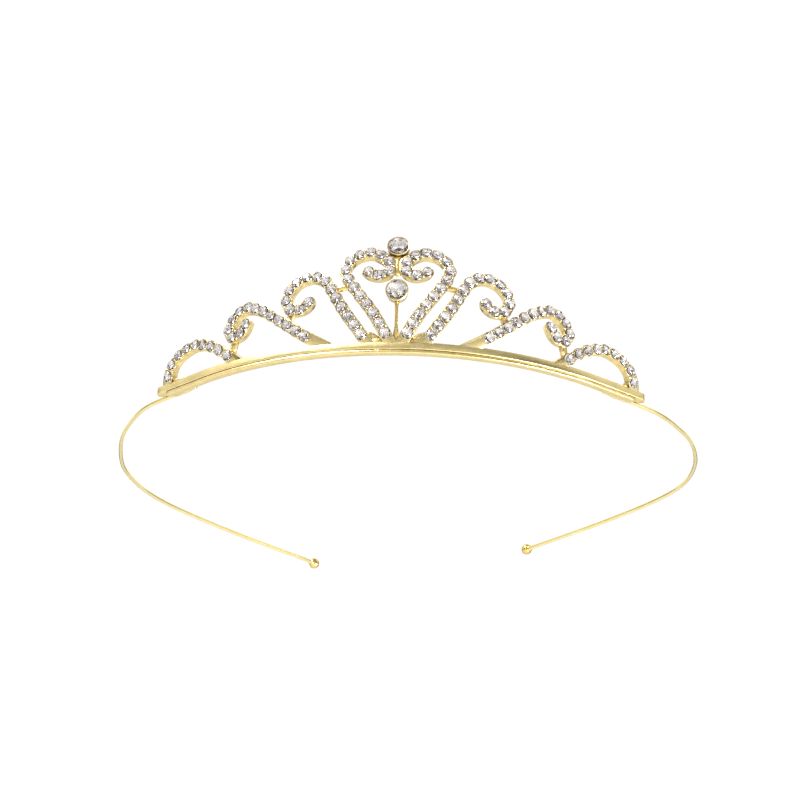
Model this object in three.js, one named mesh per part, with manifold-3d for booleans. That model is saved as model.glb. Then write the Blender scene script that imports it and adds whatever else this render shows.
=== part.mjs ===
// A gilt tiara: a curved bar carries four pairs of stone-set scrolls, and a sprung wire headband
// is soldered to its two ends. Millimetres, +Z towards the tips of the crown, +Y towards the back
// of the head, +X to the wearer's left as seen from the front.
//
// The crown is designed as a flat pattern and then bent. In the pattern, s runs along the bar from
// its middle, h runs up from the bar's top face, and d runs outwards from the middle of the sheet.
// onCrown() bends that pattern round the bar's curve and gives it the crown's lean: the feet of
// the scrolls lean forward and their tips curl back over the hair.

import * as THREE from "three";
import { mergeVertices } from "three/addons/utils/BufferGeometryUtils.js";
import Module from "manifold-3d";

const wasm = await Module();
wasm.setup();

// ---- driving dimensions -------------------------------------------------------------------

const BAR_RADIUS = 71.3; // curve of the bar, at the middle of the crown's sheet
const BAR_ARC_ANGLE = THREE.MathUtils.degToRad(39.8); // each half of the bar is curved this far
const BAR_HALF_LENGTH = 64.3; // measured along the bar; the last stretch is straight
const BAR_FRONT = 0.7; // d of the bar's front face
const BAR_DEPTH = 2.3;
const BAR_HEIGHT = 1.8;
const RAIL_HEIGHT = 0.8; // flat rail under the bar; its underside is z = 0
const RAIL_INSET = 0.25; // the rail's front face stands back from the bar's
const RAIL_SHORTFALL = 3; // at each end
const RAIL_DEPTH = 1.9;
const SEAM = 0.02; // soldered faces keep this much apart

const CROWN_FOOT = RAIL_HEIGHT + SEAM + BAR_HEIGHT + SEAM; // z of the pattern's h = 0
const CROWN_HEIGHT = 27; // envelope of the pattern at the middle of the crown
const CROWN_HEIGHT_DROP = 17; // how much lower the envelope is at its ends
const ENVELOPE_HALF_LENGTH = 56;
const LEAN_AT_FOOT = THREE.MathUtils.degToRad(20); // forward
const LEAN_AT_TIP = THREE.MathUtils.degToRad(-15); // backward

const STRIP_WIDTH = 2.6; // a scroll's face
const STRIP_BACK = -1.3;
const STRIP_FRONT = 0.75;
const STONE_RADIUS = 1.25;
const STONE_HEIGHT = 0.9;
const BED_HEIGHT = 0.3; // adhesive bed between two stones
const BED_GAP = 0.05;
const VALLEY_WIDTH = 0.5; // the bed's width between two stones, as a share of a stone's
const SHOULDER = 0.27; // a stone is full from this share of the pitch before its centre to after it
const SCROLL_DIVISIONS = 34;
const BAR_DIVISIONS = 40;

const BEZEL_RADIUS = 2.65;
const BEZEL_WALL = 0.3;
const BEZEL_BACK = -1.6;
const BEZEL_FRONT = 1.2;
const BIG_STONE_RADIUS = 2.3;
const TOP_STONE_H = 23.2;
const PENDANT_STONE_H = 11.9;
const STEM_WIDTH = 0.8;

const BRIDGE_BACK = -0.55; // solder between two scrolls
const BRIDGE_FRONT = 0.35;
const PAD_THICKNESS = 0.6; // solder behind two scrolls
const PAD_GAP = 0.05;

const WIRE_RADIUS = 0.525;
const WIRE_ROOT_Z = 1.0;
const WIRE_ROOT_S = 59.3; // where each arm leaves its solder
const WIRE_ROOT_D = -2.35;
const WIRE_ROOT_LENGTH = 7;
const SOLDER_SKIN = 0.05; // over the wire's root
const BALL_RADIUS = 1.4;

const CENTRING_Y = -39; // puts the origin under the middle of the whole part
const ARC_CENTRE_Y = CENTRING_Y + 45; // centre of the bar's curve

// ---- materials ----------------------------------------------------------------------------

const gilt = () => new THREE.MeshStandardMaterial({ color: 0xe3c069, roughness: 0.28, metalness: 1 });
const giltBar = () => new THREE.MeshStandardMaterial({ color: 0xd6b566, roughness: 0.36, metalness: 1 });
const solder = () => new THREE.MeshStandardMaterial({ color: 0xd9b860, roughness: 0.45, metalness: 1 });
const crystal = () => new THREE.MeshStandardMaterial({ color: 0xe9e4e6, roughness: 0.05, metalness: 0 });

// ---- the crown's surface ------------------------------------------------------------------

// The bar's line at s: a circular arc in the middle and a straight run at each end.
function alongBar(s) {
  const arcEnd = BAR_RADIUS * BAR_ARC_ANGLE;
  const onArc = THREE.MathUtils.clamp(s, -arcEnd, arcEnd);
  const angle = onArc / BAR_RADIUS;
  const out = new THREE.Vector3(Math.sin(angle), -Math.cos(angle), 0);
  const along = new THREE.Vector3(Math.cos(angle), Math.sin(angle), 0);
  const point = new THREE.Vector3(0, ARC_CENTRE_Y, 0)
    .addScaledVector(out, BAR_RADIUS)
    .addScaledVector(along, s - onArc);
  return { point, along, out };
}

function envelopeHeight(s) {
  const t = Math.min(Math.abs(s) / ENVELOPE_HALF_LENGTH, 1);
  return CROWN_HEIGHT - CROWN_HEIGHT_DROP * Math.sin((t * Math.PI) / 2) ** 2;
}

// Place and axes of the pattern point (s, h) on the leaning crown.
function crownFrame(s, h) {
  const { point, along, out } = alongBar(s);
  const curl = (LEAN_AT_FOOT - LEAN_AT_TIP) / envelopeHeight(s);
  const lean = LEAN_AT_FOOT - curl * h;
  const forward = (Math.cos(lean) - Math.cos(LEAN_AT_FOOT)) / curl;
  const rise = (Math.sin(LEAN_AT_FOOT) - Math.sin(lean)) / curl;
  const up = new THREE.Vector3(0, 0, 1);
  const origin = point.clone().addScaledVector(out, forward).addScaledVector(up, CROWN_FOOT + rise);
  const normal = out.clone().multiplyScalar(Math.cos(lean)).addScaledVector(up, -Math.sin(lean));
  const upward = out.clone().multiplyScalar(Math.sin(lean)).addScaledVector(up, Math.cos(lean));
  return { origin, along, upward, normal };
}

function onCrown(s, h, d) {
  const { origin, normal } = crownFrame(s, h);
  return origin.addScaledVector(normal, d);
}

function onBar(s, d, z) {
  const { point, out } = alongBar(s);
  return point.addScaledVector(out, d).setZ(z);
}

// ---- geometry helpers ---------------------------------------------------------------------

function merged(geometry) {
  const bare = geometry.clone();
  bare.deleteAttribute("normal");
  bare.deleteAttribute("uv");
  return mergeVertices(bare, 1e-5);
}

function toSolid(geometry) {
  const closed = merged(geometry);
  return new wasm.Manifold(
    new wasm.Mesh({
      numProp: 3,
      vertProperties: new Float32Array(closed.attributes.position.array),
      triVerts: new Uint32Array(closed.index.array),
    }),
  );
}

function toGeometry(solid) {
  const mesh = solid.getMesh();
  const geometry = new THREE.BufferGeometry();
  geometry.setAttribute("position", new THREE.BufferAttribute(mesh.vertProperties, 3));
  geometry.setIndex(new THREE.BufferAttribute(mesh.triVerts, 1));
  return geometry;
}

// Moves every vertex of a geometry through move(x, y, z).
function bent(geometry, move) {
  const result = merged(geometry);
  const position = result.attributes.position;
  for (let i = 0; i < position.count; i += 1) {
    const p = move(position.getX(i), position.getY(i), position.getZ(i));
    position.setXYZ(i, p.x, p.y, p.z);
  }
  return result;
}

// A box swept through stations: each station is { at, width }, where width scales the section, and
// place(at, across, through, station) puts its corners. across and through run from -1/2 to 1/2.
function sweptBox(stations, place) {
  const last = stations.length - 1;
  const box = new THREE.BoxGeometry(last, 1, 1, last, 1, 1).translate(last / 2, 0, 0);
  return bent(box, (x, across, through) => {
    const station = stations[Math.round(x)];
    return place(station.at, across * station.width, through, station);
  });
}

// Stations from start to end, with the section narrowing to a round at the ends asked for.
function roundedStations(start, end, divisions, radius, roundStart) {
  const first = roundStart ? start + radius : start;
  const last = end - radius;
  const angles = [60, 38, 15].map(THREE.MathUtils.degToRad);
  const body = Array.from({ length: divisions + 1 }, (_, i) => {
    return { at: THREE.MathUtils.lerp(first, last, i / divisions), width: 1 };
  });
  const tail = angles.map((a) => ({ at: last + radius * Math.cos(a), width: Math.sin(a) }));
  const head = angles.map((a) => ({ at: first - radius * Math.cos(a), width: Math.sin(a) }));
  return roundStart ? [...head.reverse(), ...body, ...tail] : [...body, ...tail];
}

function block(xMin, xMax, yMin, yMax, zMin, zMax) {
  const box = new THREE.BoxGeometry(xMax - xMin, yMax - yMin, zMax - zMin);
  return box.translate((xMin + xMax) / 2, (yMin + yMax) / 2, (zMin + zMax) / 2);
}

function plate(shape, dMin, dMax) {
  const options = { depth: dMax - dMin, bevelEnabled: false, steps: 1 };
  return new THREE.ExtrudeGeometry(shape, options).translate(0, 0, dMin);
}

// A strip of the crown's sheet, bent onto it. curve is its centreline in the flat pattern; stations
// are lengths along the curve, each with its width's share of the whole and its own height.
function crownStrip(curve, stations, width, dMin, height) {
  const length = curve.getLength();
  return sweptBox(stations, (at, across, through, station) => {
    const u = THREE.MathUtils.clamp(at / length, 0, 1);
    const point = curve.getPointAt(u);
    const tangent = curve.getTangentAt(u);
    const s = point.x - tangent.y * across * width;
    const h = point.y + tangent.x * across * width;
    return onCrown(s, h, dMin + (0.5 + through) * (station.height ?? height));
  });
}

// Outline of a bead of solder between two points of the flat pattern.
function capsuleShape(s0, h0, s1, h1, width) {
  const angle = Math.atan2(h1 - h0, s1 - s0);
  const shape = new THREE.Shape();
  shape.absarc(s1, h1, width / 2, angle - Math.PI / 2, angle + Math.PI / 2);
  shape.absarc(s0, h0, width / 2, angle + Math.PI / 2, angle + (3 * Math.PI) / 2);
  return shape;
}

// ---- scrolls and their stones ---------------------------------------------------------------

// Centrelines in the flat pattern, from the foot (below the bar's top, where it is trimmed) to
// the eye of the curl, for the right half of the crown. firstStone is the pattern height of the
// lowest stone.
const SCROLLS = {
  heart: {
    stones: 16,
    firstStone: 2.1,
    path: [
      [0.6, -1.2], [2.5, 2.1], [5.4, 7.1], [8.5, 11.5], [11.0, 15.5], [11.4, 17.9], [10.3, 20.1],
      [8.2, 21.4], [5.6, 21.7], [3.05, 20.35], [1.6, 18.4], [2.1, 16.5], [4.0, 15.7], [6.1, 16.4],
      [7.2, 17.7],
    ],
  },
  inner: {
    stones: 15,
    firstStone: 1.9,
    path: [
      [5.9, -1.2], [7.8, 1.9], [11.2, 6.9], [13.7, 11.3], [15.1, 13.9], [16.8, 15.8], [19.0, 16.7],
      [21.3, 16.4], [23.6, 15.0], [24.8, 12.8], [24.9, 10.5], [23.7, 8.9], [21.6, 8.7], [19.9, 9.8],
      [19.1, 11.5],
    ],
  },
  middle: {
    stones: 14,
    firstStone: 2.5,
    path: [
      [15.2, -0.9], [20.6, 2.4], [25.1, 5.7], [29.2, 8.9], [32.6, 11.0], [35.9, 12.1], [38.2, 11.0],
      [39.8, 9.0], [40.2, 7.0], [39.2, 5.5], [37.6, 5.4], [36.2, 6.5], [35.3, 8.0],
      [35.1, 9.1],
    ],
  },
  outer: {
    stones: 9,
    firstStone: 1.6,
    path: [
      [37.6, -1.3], [40.2, 1.1], [42.7, 3.2], [45.3, 4.9], [48.2, 6.1], [51.0, 6.8], [53.7, 6.5],
      [56.5, 5.5], [58.8, 3.5], [60.1, 0.9], [60.6, -1.2],
    ],
  },
};

function centreline(path, side) {
  return new THREE.SplineCurve(path.map(([s, h]) => new THREE.Vector2(side * s, h)));
}

// What is above the bar's top face, on one side of the crown's middle.
function trimmed(geometry, side) {
  const bottom = CROWN_FOOT + SEAM;
  const reach = 2 * BAR_HALF_LENGTH;
  const near = SEAM * 2;
  const [xMin, xMax] = side > 0 ? [near, reach] : [-reach, -near];
  const room = block(xMin, xMax, -reach, reach, bottom, bottom + 2 * CROWN_HEIGHT);
  return toGeometry(toSolid(geometry).intersect(toSolid(room)));
}

function scrollFrame({ path }, side) {
  const curve = centreline(path, side);
  const stations = roundedStations(0, curve.getLength(), SCROLL_DIVISIONS, STRIP_WIDTH / 2, false);
  return trimmed(crownStrip(curve, stations, STRIP_WIDTH, STRIP_BACK, STRIP_FRONT - STRIP_BACK), side);
}

// One row of stones and the adhesive bed between them, as one solid: a strip that swells at each
// stone's girdle and sinks to the bed between two stones. The stones are evenly spaced from
// firstStone to the eye of the curl, or to the same height on an arch's second foot.
function stoneRow({ path, stones, firstStone }, side, isArch) {
  const curve = centreline(path, side);
  const length = curve.getLength();
  let first = 0;
  while (curve.getPointAt(first / length).y < firstStone) first += 0.02;
  let last = length - STRIP_WIDTH / 2;
  while (isArch && curve.getPointAt(last / length).y < firstStone) last -= 0.02;
  const pitch = (last - first) / (stones - 1);
  const valley = (at) => ({ at, width: VALLEY_WIDTH, height: BED_HEIGHT });
  const shoulder = (at) => ({ at, width: 1, height: STONE_HEIGHT });
  const stations = [valley(first - pitch / 2)];
  for (let i = 0; i < stones; i += 1) {
    const at = first + i * pitch;
    stations.push(shoulder(at - pitch * SHOULDER));
    stations.push(shoulder(at + pitch * SHOULDER));
    stations.push(valley(at + pitch / 2));
  }
  return crownStrip(curve, stations, 2 * STONE_RADIUS, STRIP_FRONT + BED_GAP, STONE_HEIGHT);
}

// ---- bar, rail, stem and settings -----------------------------------------------------------

// A flat bar lying along the crown's line, with rounded ends.
function barSolid(halfLength, front, depth, zMin, zMax) {
  const stations = roundedStations(-halfLength, halfLength, BAR_DIVISIONS, depth / 2, true);
  return sweptBox(stations, (s, across, through) => {
    return onBar(s, front - depth * (0.5 + across), (zMin + zMax) / 2 + through * (zMax - zMin));
  });
}

function onFrame(geometry, s, h) {
  const { origin, along, upward, normal } = crownFrame(s, h);
  const placed = merged(geometry).applyMatrix4(new THREE.Matrix4().makeBasis(along, upward, normal));
  return placed.translate(origin.x, origin.y, origin.z);
}

// A closed-backed cup for a large stone, its mouth forwards.
function bezelCup(h) {
  const floor = BEZEL_BACK + BEZEL_WALL;
  const inner = BEZEL_RADIUS - BEZEL_WALL;
  const profile = [
    [0, BEZEL_BACK], [BEZEL_RADIUS - BEZEL_WALL, BEZEL_BACK], [BEZEL_RADIUS, floor],
    [BEZEL_RADIUS, BEZEL_FRONT], [inner, BEZEL_FRONT], [inner, floor], [0, floor],
  ].map(([r, d]) => new THREE.Vector2(r, d));
  const cup = new THREE.LatheGeometry(profile, 18).rotateX(Math.PI / 2);
  return onFrame(cup, 0, h);
}

// A large round stone: pointed pavilion in the cup, girdle at the rim, flat table.
function bigStone(h) {
  const girdle = BEZEL_FRONT - 0.15;
  const profile = [
    [0, BEZEL_BACK + BEZEL_WALL + 0.1], [BIG_STONE_RADIUS - 0.02, girdle - 0.15],
    [BIG_STONE_RADIUS - 0.02, girdle], [BIG_STONE_RADIUS * 0.58, girdle + 0.8], [0, girdle + 0.8],
  ].map(([r, d]) => new THREE.Vector2(r, d));
  const stone = new THREE.LatheGeometry(profile, 12).rotateX(Math.PI / 2);
  return onFrame(stone, 0, h);
}

// The stem that carries the pendant setting: a rod whose foot swells and then tapers to a point
// between the heart's legs.
function stem() {
  const top = PENDANT_STONE_H - BEZEL_RADIUS - 0.05;
  const widths = [[1.0, 0.25], [1.7, 0.8], [2.3, 1.2], [3.4, 0.8], [5, 0.8], [7, 0.8], [top, 0.8]];
  const stations = widths.map(([at, width]) => ({ at, width }));
  return sweptBox(stations, (h, across, through) => onCrown(-across, h, through * STEM_WIDTH));
}

function topPost() {
  const shape = capsuleShape(0, 19.3, 0, TOP_STONE_H - BEZEL_RADIUS - 0.65, 1.1);
  return bent(plate(shape, -0.5, 0.5), onCrown);
}

// A flat pad of solder just behind the strips.
function solderPad(shape) {
  const front = STRIP_BACK - PAD_GAP;
  return plate(shape, front - PAD_THICKNESS, front);
}

// Solder behind the place where the two heart curls meet.
function curlBridge() {
  const shape = capsuleShape(0, 17.3, 0, 18.3, 3);
  return bent(solderPad(shape), onCrown);
}

// Solder between two neighbouring scrolls, inside the strips' thickness.
function bridgePlate(shape) {
  return bent(plate(shape, BRIDGE_BACK, BRIDGE_FRONT), onCrown);
}

const heartBridge = (side) => capsuleShape(side * 11.85, 13.3, side * 12.5, 13.1, 0.8);
const curlSolder = (side) => capsuleShape(side * 23.9, 7.9, side * 24.4, 6.6, 1.8);
const archBridge = (side) => capsuleShape(side * 39.3, 3.1, side * 39.25, 3.3, 0.9);

function footWeb(side) {
  const corners = [[3.2, -0.6], [4.7, -0.6], [5.5, 1.2], [4.25, 1.2]];
  return new THREE.Shape(corners.map(([s, h]) => new THREE.Vector2(side * s, h)));
}

// A bead of solder that wraps the wire's root against the back of the rail.
function wireRoot(side) {
  const curve = new THREE.LineCurve3(
    onBar(side * (WIRE_ROOT_S - WIRE_ROOT_LENGTH), WIRE_ROOT_D, WIRE_ROOT_Z),
    onBar(side * WIRE_ROOT_S, WIRE_ROOT_D, WIRE_ROOT_Z),
  );
  const shape = new THREE.Shape().absarc(0, 0, WIRE_RADIUS + SOLDER_SKIN, 0, Math.PI * 2);
  return merged(new THREE.ExtrudeGeometry(shape, { extrudePath: curve, steps: 4, curveSegments: 5 }));
}

// ---- headband wire --------------------------------------------------------------------------

// Routes of the two wire arms in plan, from the solder to the end ball. The wire was bent by hand,
// and the left arm reaches further back than the right.
const ARM_ROUTES = {
  left: [
    [-60.2, 6.4], [-65.4, 15.6], [-69.0, 26.0], [-70.8, 40.2], [-69.6, 50], [-66.3, 59.8],
    [-59.8, 70.4], [-46, 87], [-31, 102.8],
  ],
  right: [
    [60.2, 6.4], [65.4, 14.4], [69.4, 23.6], [71, 36.0], [68.9, 48.4], [62.5, 59.6],
    [50, 74.2], [33.4, 91.2],
  ],
};
const BALLS = { left: [-27.4, 107.2], right: [30.2, 94.5] };

function armEnds(name, side) {
  const root = onBar(side * (WIRE_ROOT_S + 0.3), WIRE_ROOT_D, WIRE_ROOT_Z);
  const [x, y] = BALLS[name];
  const ball = new THREE.Vector3(x, y + CENTRING_Y, BALL_RADIUS);
  return { root, ball };
}

// The wire climbs evenly from its root to the height of the ball's centre.
function armCurve(name, side) {
  const { root, ball } = armEnds(name, side);
  const route = ARM_ROUTES[name].map(([x, y], i, all) => {
    const z = THREE.MathUtils.lerp(WIRE_ROOT_Z, BALL_RADIUS, (i + 1) / (all.length + 1));
    return new THREE.Vector3(x, y + CENTRING_Y, z);
  });
  const last = route.at(-1);
  const tip = ball.clone().sub(last).setLength(ball.distanceTo(last) - BALL_RADIUS).add(last);
  return new THREE.CatmullRomCurve3([root, ...route, tip], false, "centripetal");
}

function wireArm(name, side) {
  const shape = new THREE.Shape().absarc(0, 0, WIRE_RADIUS, 0, Math.PI * 2);
  const options = { extrudePath: armCurve(name, side), steps: 36, curveSegments: 4 };
  return merged(new THREE.ExtrudeGeometry(shape, options));
}

function endBall(name, side) {
  const { ball } = armEnds(name, side);
  const sphere = new THREE.SphereGeometry(BALL_RADIUS, 14, 10).rotateX(Math.PI / 2);
  return merged(sphere).translate(ball.x, ball.y, ball.z);
}

// ---- assembly -------------------------------------------------------------------------------

const tiara = new THREE.Group();

function add(name, geometry, material) {
  geometry.computeVertexNormals();
  const mesh = new THREE.Mesh(geometry, material);
  mesh.name = name;
  tiara.add(mesh);
}

const BAR_TOP = CROWN_FOOT - SEAM;
const railFront = BAR_FRONT - RAIL_INSET;

add("headband_rail", barSolid(BAR_HALF_LENGTH - RAIL_SHORTFALL, railFront, RAIL_DEPTH, 0, RAIL_HEIGHT), gilt());
add("base_bar", barSolid(BAR_HALF_LENGTH, BAR_FRONT, BAR_DEPTH, RAIL_HEIGHT + SEAM, BAR_TOP), giltBar());
add("stem", stem(), gilt());
add("pendant_bezel", bezelCup(PENDANT_STONE_H), gilt());
add("pendant_stone", bigStone(PENDANT_STONE_H), crystal());
add("top_bezel", bezelCup(TOP_STONE_H), gilt());
add("top_stone", bigStone(TOP_STONE_H), crystal());
add("top_post", topPost(), gilt());
add("curl_bridge", curlBridge(), solder());

for (const [name, side] of [["left", -1], ["right", 1]]) {
  for (const [kind, scroll] of Object.entries(SCROLLS)) {
    add(`${name}_${kind}_scroll`, scrollFrame(scroll, side), gilt());
    add(`${name}_${kind}_stones`, stoneRow(scroll, side, kind === "outer"), crystal());
  }
  add(`${name}_heart_bridge`, bridgePlate(heartBridge(side)), solder());
  add(`${name}_arch_bridge`, bridgePlate(archBridge(side)), solder());
  add(`${name}_foot_web`, trimmed(bridgePlate(footWeb(side)), side), solder());
  add(`${name}_curl_solder`, bent(solderPad(curlSolder(side)), onCrown), solder());
  add(`${name}_wire_root`, wireRoot(side), solder());
  add(`${name}_wire_arm`, wireArm(name, side), gilt());
  add(`${name}_end_ball`, endBall(name, side), gilt());
}

export default tiara;
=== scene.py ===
"""Looks for the gilt tiara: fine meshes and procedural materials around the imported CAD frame.

Shapes are worked out in millimetres, in the crown's flat pattern (s along the bar, h up from the
bar's top, d outwards), bent onto the crown by on_crown(), and made in metres by make_mesh().
"""

import math
import random

import bpy
import numpy as np
from mathutils import Matrix, Vector


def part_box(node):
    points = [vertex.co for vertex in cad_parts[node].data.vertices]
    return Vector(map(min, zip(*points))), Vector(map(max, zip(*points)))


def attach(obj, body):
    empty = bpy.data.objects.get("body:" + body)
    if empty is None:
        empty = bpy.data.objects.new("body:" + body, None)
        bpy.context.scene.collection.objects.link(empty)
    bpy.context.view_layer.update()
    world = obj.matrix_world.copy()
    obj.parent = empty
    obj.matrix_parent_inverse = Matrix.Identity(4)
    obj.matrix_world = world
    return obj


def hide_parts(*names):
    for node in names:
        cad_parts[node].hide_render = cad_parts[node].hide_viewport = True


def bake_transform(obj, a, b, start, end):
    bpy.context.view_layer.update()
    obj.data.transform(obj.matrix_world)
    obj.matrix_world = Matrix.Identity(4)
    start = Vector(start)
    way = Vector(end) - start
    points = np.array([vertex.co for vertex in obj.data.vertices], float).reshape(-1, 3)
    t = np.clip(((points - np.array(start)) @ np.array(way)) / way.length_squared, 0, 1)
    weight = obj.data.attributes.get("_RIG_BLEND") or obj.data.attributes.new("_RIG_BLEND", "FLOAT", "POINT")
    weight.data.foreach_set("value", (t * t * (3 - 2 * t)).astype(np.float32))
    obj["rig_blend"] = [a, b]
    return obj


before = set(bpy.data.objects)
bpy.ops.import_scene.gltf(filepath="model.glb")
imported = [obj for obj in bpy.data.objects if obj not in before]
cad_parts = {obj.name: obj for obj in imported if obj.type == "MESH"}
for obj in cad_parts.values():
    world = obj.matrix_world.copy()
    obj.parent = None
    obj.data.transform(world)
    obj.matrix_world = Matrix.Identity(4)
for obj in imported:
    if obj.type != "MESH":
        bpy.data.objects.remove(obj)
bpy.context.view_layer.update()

MM = 0.001
UP = np.array([0.0, 0.0, 1.0])
rng = random.Random(7)

# ---- driving dimensions, in millimetres, as in the CAD part ------------------------------------

BAR_RADIUS = 71.3
BAR_ARC_ANGLE = math.radians(39.8)
BAR_HALF_LENGTH = 64.3
BAR_FRONT = 0.7
BAR_DEPTH = 2.3
RAIL_FRONT = 0.45
RAIL_DEPTH = 1.9
RAIL_HALF_LENGTH = BAR_HALF_LENGTH - 3
CROWN_HEIGHT = 27.0
CROWN_HEIGHT_DROP = 17.0
ENVELOPE_HALF_LENGTH = 56.0
LEAN_AT_FOOT = math.radians(20)
LEAN_AT_TIP = math.radians(-15)
STRIP_WIDTH = 2.6
STRIP_BACK = -1.3
STRIP_FRONT = 0.75
BEZEL_RADIUS = 2.65
BEZEL_BACK = -1.6
BEZEL_FRONT = 1.2
BIG_STONE_RADIUS = 2.3
TOP_STONE_H = 23.2
PENDANT_STONE_H = 11.9
WIRE_RADIUS = 0.525
WIRE_ROOT_D = -2.35
WIRE_ROOT_Z = 1.0
BALL_RADIUS = 1.4

# ---- dimensions of the looks alone, in millimetres ---------------------------------------------

FOOT_WIDTH = 2.85
WEB_WIDTH = 2.3
SCROLL_SECTIONS = 260
BAR_SECTIONS = 150
WIRE_SECTIONS = 220
CUP_RADIUS = 1.46
SEAT_RADIUS = 1.37
SEAT_SIDES = 14
STONE_RADIUS = 1.19
STONE_CROWN = 0.5
STONE_PAVILION = 0.66
STONE_D = STRIP_FRONT + 0.12
GIRDLE = 0.19
GIRDLE_SIDES = 16
STONE_TILT = 0.05
STONE_UNEVENNESS = 0.01
BEAD_RADIUS = 0.27
BEAD_HEIGHT = 0.2
BIG_STONE_CUT_RADIUS = BIG_STONE_RADIUS - 0.08
BIG_STONE_CROWN = 0.75
BIG_STONE_PAVILION = 0.98
WIRE_ROOT_S = 59.6
WIRE_SOLDER_LENGTH = 8.6
BEND_START = 6.3  # the wire's bend is spread between these two lengths along it
BEND_END = 34

bar_box = [Vector(corner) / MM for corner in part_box("base_bar")]
rail_box = [Vector(corner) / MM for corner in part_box("headband_rail")]
BAR_BOTTOM = bar_box[0].z
BAR_TOP = bar_box[1].z
RAIL_TOP = rail_box[1].z
CROWN_FOOT = BAR_TOP + 0.02
ARC_CENTRE_Y = bar_box[0].y + BAR_FRONT + BAR_RADIUS

# Scroll centrelines in the flat pattern, right half, from the foot to the eye of the curl.
SCROLLS = {
    "heart": (16, 2.1, [
        (0.6, -1.2), (2.5, 2.1), (5.4, 7.1), (8.5, 11.5), (11.0, 15.5), (11.4, 17.9), (10.3, 20.1),
        (8.2, 21.4), (5.6, 21.7), (3.05, 20.35), (1.6, 18.4), (2.1, 16.5), (4.0, 15.7), (6.1, 16.4),
        (7.2, 17.7)]),
    "inner": (15, 1.9, [
        (5.9, -1.2), (7.8, 1.9), (11.2, 6.9), (13.7, 11.3), (15.1, 13.9), (16.8, 15.8),
        (19.0, 16.7), (21.3, 16.4), (23.6, 15.0), (24.8, 12.8), (24.9, 10.5), (23.7, 8.9),
        (21.6, 8.7), (19.9, 9.8), (19.1, 11.5)]),
    "middle": (14, 2.5, [
        (15.2, -0.9), (20.6, 2.4), (25.1, 5.7), (29.2, 8.9), (32.6, 11.0), (35.9, 12.1),
        (38.2, 11.0), (39.8, 9.0), (40.2, 7.0), (39.2, 5.5), (37.6, 5.4), (36.2, 6.5),
        (35.3, 8.0), (35.1, 9.1)]),
    "outer": (9, 1.6, [
        (37.6, -1.3), (40.2, 1.1), (42.7, 3.2), (45.3, 4.9), (48.2, 6.1), (51.0, 6.8), (53.7, 6.5),
        (56.5, 5.5), (58.8, 3.5), (60.1, 0.9), (60.6, -1.2)]),
}
SIDES = {"left": -1, "right": 1}

# Headband wire in plan, from the solder to the end ball; y is counted from the loop's middle.
LOOP_MIDDLE_Y = -39.0
ARM_ROUTES = {
    "left": [
        (-60.2, 6.4), (-65.4, 15.6), (-69.0, 26.0), (-70.8, 40.2), (-69.6, 50), (-66.3, 59.8),
        (-59.8, 70.4), (-46, 87), (-31, 102.8), (-27.4, 107.2)],
    "right": [
        (60.2, 6.4), (65.4, 14.4), (69.4, 23.6), (71, 36.0), (68.9, 48.4), (62.5, 59.6),
        (50, 74.2), (33.4, 91.2), (30.2, 94.5)],
}

# Solder at each side: name, its two ends (s, h), d, radii across and through, replaced CAD node.
SIDE_SOLDER = [
    ("heart_bead", (10.9, 13.4), (13.5, 13.0), -0.2, (0.72, 0.6), "heart_bridge"),
    ("curl_bead", (24.0, 7.7), (24.6, 6.9), -0.4, (0.95, 0.5), "curl_solder"),
    ("arch_bead", (39.6, 2.6), (39.0, 4.2), -0.3, (1.0, 0.7), "arch_bridge"),
    ("foot_bead", (3.2, 0.15), (6.4, 0.25), -0.1, (0.95, 0.7), "foot_web"),
    ("foot_lump", (4.3, 0.9), (6.3, 1.9), -0.2, (0.75, 0.55), None),
]
FOOT_FILLETS = {"middle": 1.9, "outer": 1.5}  # half lengths of the solder along the bar
FILLET_OFFSET = 1.6  # from the start of a scroll's centreline, which is under the bar's top

# ---- the crown's surface -----------------------------------------------------------------------


def along_bar(s):
    """Point, direction along and direction outwards of the bar's line, all flat in z = 0."""
    arc_end = BAR_RADIUS * BAR_ARC_ANGLE
    on_arc = min(max(s, -arc_end), arc_end)
    angle = on_arc / BAR_RADIUS
    out = np.array([math.sin(angle), -math.cos(angle), 0.0])
    along = np.array([math.cos(angle), math.sin(angle), 0.0])
    point = np.array([0.0, ARC_CENTRE_Y, 0.0]) + BAR_RADIUS * out + (s - on_arc) * along
    return point, along, out


def envelope_height(s):
    """Height that the crown's lean is spread over: tall in the middle, low at the ends."""
    t = min(abs(s) / ENVELOPE_HALF_LENGTH, 1)
    return CROWN_HEIGHT - CROWN_HEIGHT_DROP * math.sin(t * math.pi / 2) ** 2


def crown_frame(s, h):
    """Origin and axes (along, upward, normal) of a pattern point on the leaning crown."""
    point, along, out = along_bar(s)
    curl = (LEAN_AT_FOOT - LEAN_AT_TIP) / envelope_height(s)
    lean = LEAN_AT_FOOT - curl * h
    forward = (math.cos(lean) - math.cos(LEAN_AT_FOOT)) / curl
    rise = (math.sin(LEAN_AT_FOOT) - math.sin(lean)) / curl
    origin = point + forward * out + (CROWN_FOOT + rise) * UP
    normal = math.cos(lean) * out - math.sin(lean) * UP
    upward = math.sin(lean) * out + math.cos(lean) * UP
    return origin, along, upward, normal


def on_crown(s, h, d):
    origin, _, _, normal = crown_frame(s, h)
    return origin + d * normal


def on_bar(s, d, z):
    point, _, out = along_bar(s)
    return point + d * out + z * UP


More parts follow.
